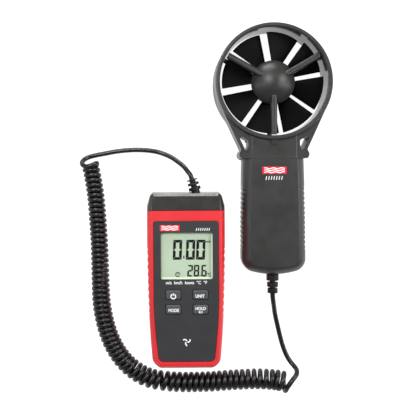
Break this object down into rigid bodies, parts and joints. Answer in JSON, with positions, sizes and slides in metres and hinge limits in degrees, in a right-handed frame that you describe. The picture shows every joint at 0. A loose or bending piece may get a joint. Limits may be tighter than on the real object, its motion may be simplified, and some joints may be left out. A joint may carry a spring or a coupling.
{
  "type": "vane anemometer",
  "caption": "hand-held air speed meter with a display and keys, joined by a curly cord to a vane probe whose bladed rotor turns inside a duct ring on a handle",
  "frame": {"origin": "on the surface that the meter and the probe lie on, under the middle of the two taken together", "axes": "+Z out of the display and along the rotor's axis, +Y towards the meter's cord end and the duct ring, +X from the meter to the probe"},
  "size_m": [0.176, 0.2589, 0.0301],
  "materials": {
    "red_plastic": "red moulded plastic, satin",
    "cap_plastic": "dark grey moulded plastic, half gloss",
    "panel_film": "dark grey matt panel",
    "clear_plastic": "clear display window",
    "display_cell": "grey-green liquid-crystal cell",
    "light_guide": "milky white moulded plastic",
    "circuit_board": "green circuit board",
    "component": "black moulded component",
    "silicone": "grey silicone",
    "key_rubber": "dark grey matt key",
    "battery_wrap": "printed battery sleeve",
    "contact_steel": "plated sheet metal",
    "screw_steel": "steel",
    "magnet": "dark sintered magnet",
    "relief_rubber": "black soft plastic",
    "cord_jacket": "black glossy cord jacket",
    "probe_plastic": "dark grey fine-grained plastic",
    "black_plastic": "black moulded plastic"
  },
  "bodies": {
    "meter": {"rear_case": "red_plastic", "front_case": "red_plastic", "top_cap": "cap_plastic", "front_panel": "panel_film", "display_lens": "clear_plastic", "display_glass": "display_cell", "backlight": "light_guide", "main_board": "circuit_board", "main_chip": "component", "cord_socket": "light_guide", "keypad_mat": "silicone", "switch_power": "contact_steel", "switch_unit": "contact_steel", "switch_mode": "contact_steel", "switch_hold": "contact_steel", "battery_1": "battery_wrap", "battery_2": "battery_wrap", "battery_3": "battery_wrap", "battery_spring_1": "contact_steel", "battery_spring_2": "contact_steel", "battery_spring_3": "contact_steel", "battery_plate_1": "contact_steel", "battery_plate_2": "contact_steel", "battery_plate_3": "contact_steel", "case_screw_1": "screw_steel", "case_screw_2": "screw_steel", "case_screw_3": "screw_steel", "case_screw_4": "screw_steel", "meter_relief": "relief_rubber", "cord_meter_lead": "cord_jacket", "cord_coil_upper": "cord_jacket", "cord_coil_bend": "cord_jacket", "cord_coil_lower": "cord_jacket"},
    "power_key": {"key_power": "key_rubber"},
    "unit_key": {"key_unit": "key_rubber"},
    "mode_key": {"key_mode": "key_rubber"},
    "hold_key": {"key_hold": "key_rubber"},
    "door": {"battery_door": "red_plastic"},
    "probe": {"vane_head": "probe_plastic", "front_guard": "probe_plastic", "rear_guard": "probe_plastic", "front_bearing": "contact_steel", "rear_bearing": "contact_steel", "pickup_sensor": "component", "thermistor": "component", "handle_front": "probe_plastic", "handle_rear": "probe_plastic", "probe_board": "circuit_board", "head_screw_left": "screw_steel", "head_screw_right": "screw_steel", "handle_screw_1": "screw_steel", "handle_screw_2": "screw_steel", "probe_relief": "relief_rubber", "cord_probe_lead": "cord_jacket"},
    "rotor": {"impeller": "black_plastic", "rotor_shaft": "screw_steel", "rotor_magnet": "magnet"}
  },
  "joints": [
    {"name": "power_press", "type": "slide", "parent": "meter", "child": "power_key", "axis": [0, 0, -1], "range_m": [0, 0.0006], "stiffness_N_per_m": 300},
    {"name": "unit_press", "type": "slide", "parent": "meter", "child": "unit_key", "axis": [0, 0, -1], "range_m": [0, 0.0006], "stiffness_N_per_m": 300},
    {"name": "mode_press", "type": "slide", "parent": "meter", "child": "mode_key", "axis": [0, 0, -1], "range_m": [0, 0.0006], "stiffness_N_per_m": 300},
    {"name": "hold_press", "type": "slide", "parent": "meter", "child": "hold_key", "axis": [0, 0, -1], "range_m": [0, 0.0006], "stiffness_N_per_m": 300},
    {"name": "door_slide", "type": "slide", "parent": "meter", "child": "door", "axis": [0, -1, 0], "range_m": [0, 0.0055]},
    {"name": "probe_lift", "type": "slide", "parent": "meter", "child": "probe", "axis": [0, 0, 1], "range_m": [0, 0.06]},
    {"name": "rotor_spin", "type": "hinge", "parent": "probe", "child": "rotor", "pos_m": [0.0232, 0.07805, 0.018], "axis": [0, 0, 1], "continuous": true}
  ]
}
